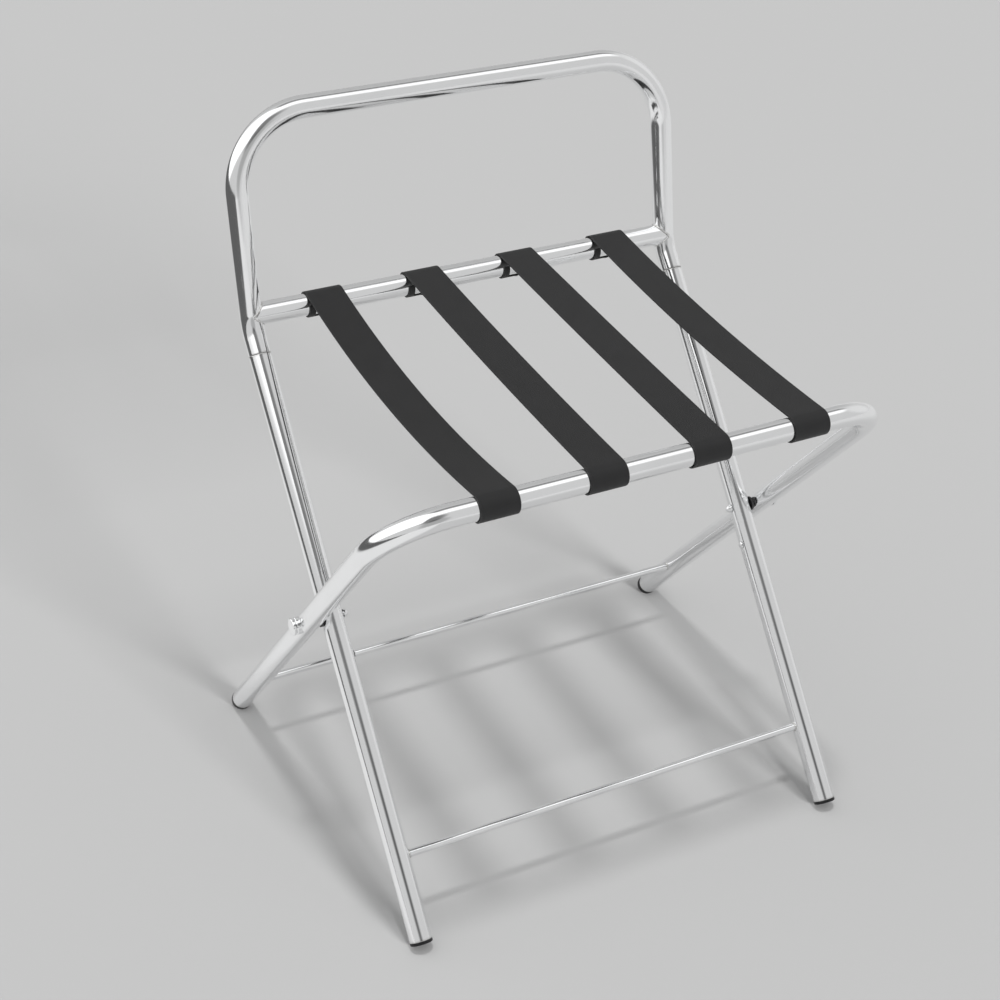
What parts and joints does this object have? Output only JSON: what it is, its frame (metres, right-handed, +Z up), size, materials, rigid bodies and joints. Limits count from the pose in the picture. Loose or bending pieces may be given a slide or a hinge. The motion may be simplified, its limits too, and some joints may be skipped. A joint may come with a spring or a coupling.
{
  "type": "folding luggage rack",
  "caption": "Folding chromed tube luggage rack with crossed legs, a raised back hoop, flat webbing straps and plug feet.",
  "frame": {"origin": "on the floor at the middle of the whole rack's footprint, rack open", "axes": "+Z up, +Y towards the back hoop, +X towards the right side seen from the front"},
  "size_m": [0.549, 0.4653, 0.671],
  "materials": {
    "tube_chrome": "polished chrome plate on steel tube",
    "rod_chrome": "polished chrome plate on steel rod",
    "hardware_chrome": "bright plated",
    "black_nylon": "matt black nylon",
    "foot_plastic": "satin black rubber-like plastic",
    "webbing": "fine woven black webbing with a slight sheen"
  },
  "bodies": {
    "back_frame": {"backrest_hoop": "tube_chrome", "left_inner_leg": "tube_chrome", "right_inner_leg": "tube_chrome", "rear_strap_bar": "tube_chrome", "front_stretcher": "rod_chrome", "left_inner_foot": "foot_plastic", "right_inner_foot": "foot_plastic", "inner_leg_rivets": "hardware_chrome", "rear_strap_rivets": "hardware_chrome", "strap_1": "webbing", "strap_2": "webbing", "strap_3": "webbing", "strap_4": "webbing"},
    "front_frame": {"front_frame_tube": "tube_chrome", "rear_stretcher": "rod_chrome", "left_outer_foot": "foot_plastic", "right_outer_foot": "foot_plastic", "front_strap_rivets": "hardware_chrome", "left_pivot_screw": "hardware_chrome", "right_pivot_screw": "hardware_chrome", "left_saddle_washer": "hardware_chrome", "right_saddle_washer": "hardware_chrome", "left_spacer_washer": "black_nylon", "right_spacer_washer": "black_nylon", "left_dome_nut": "hardware_chrome", "right_dome_nut": "hardware_chrome"}
  },
  "joints": [
    {"name": "fold", "type": "hinge", "parent": "back_frame", "child": "front_frame", "pos_m": [0, -0.0134, 0.247], "axis": [-1, 0, 0], "range_deg": [0, 72], "deforming": ["strap_1", "strap_2", "strap_3", "strap_4"]}
  ]
}
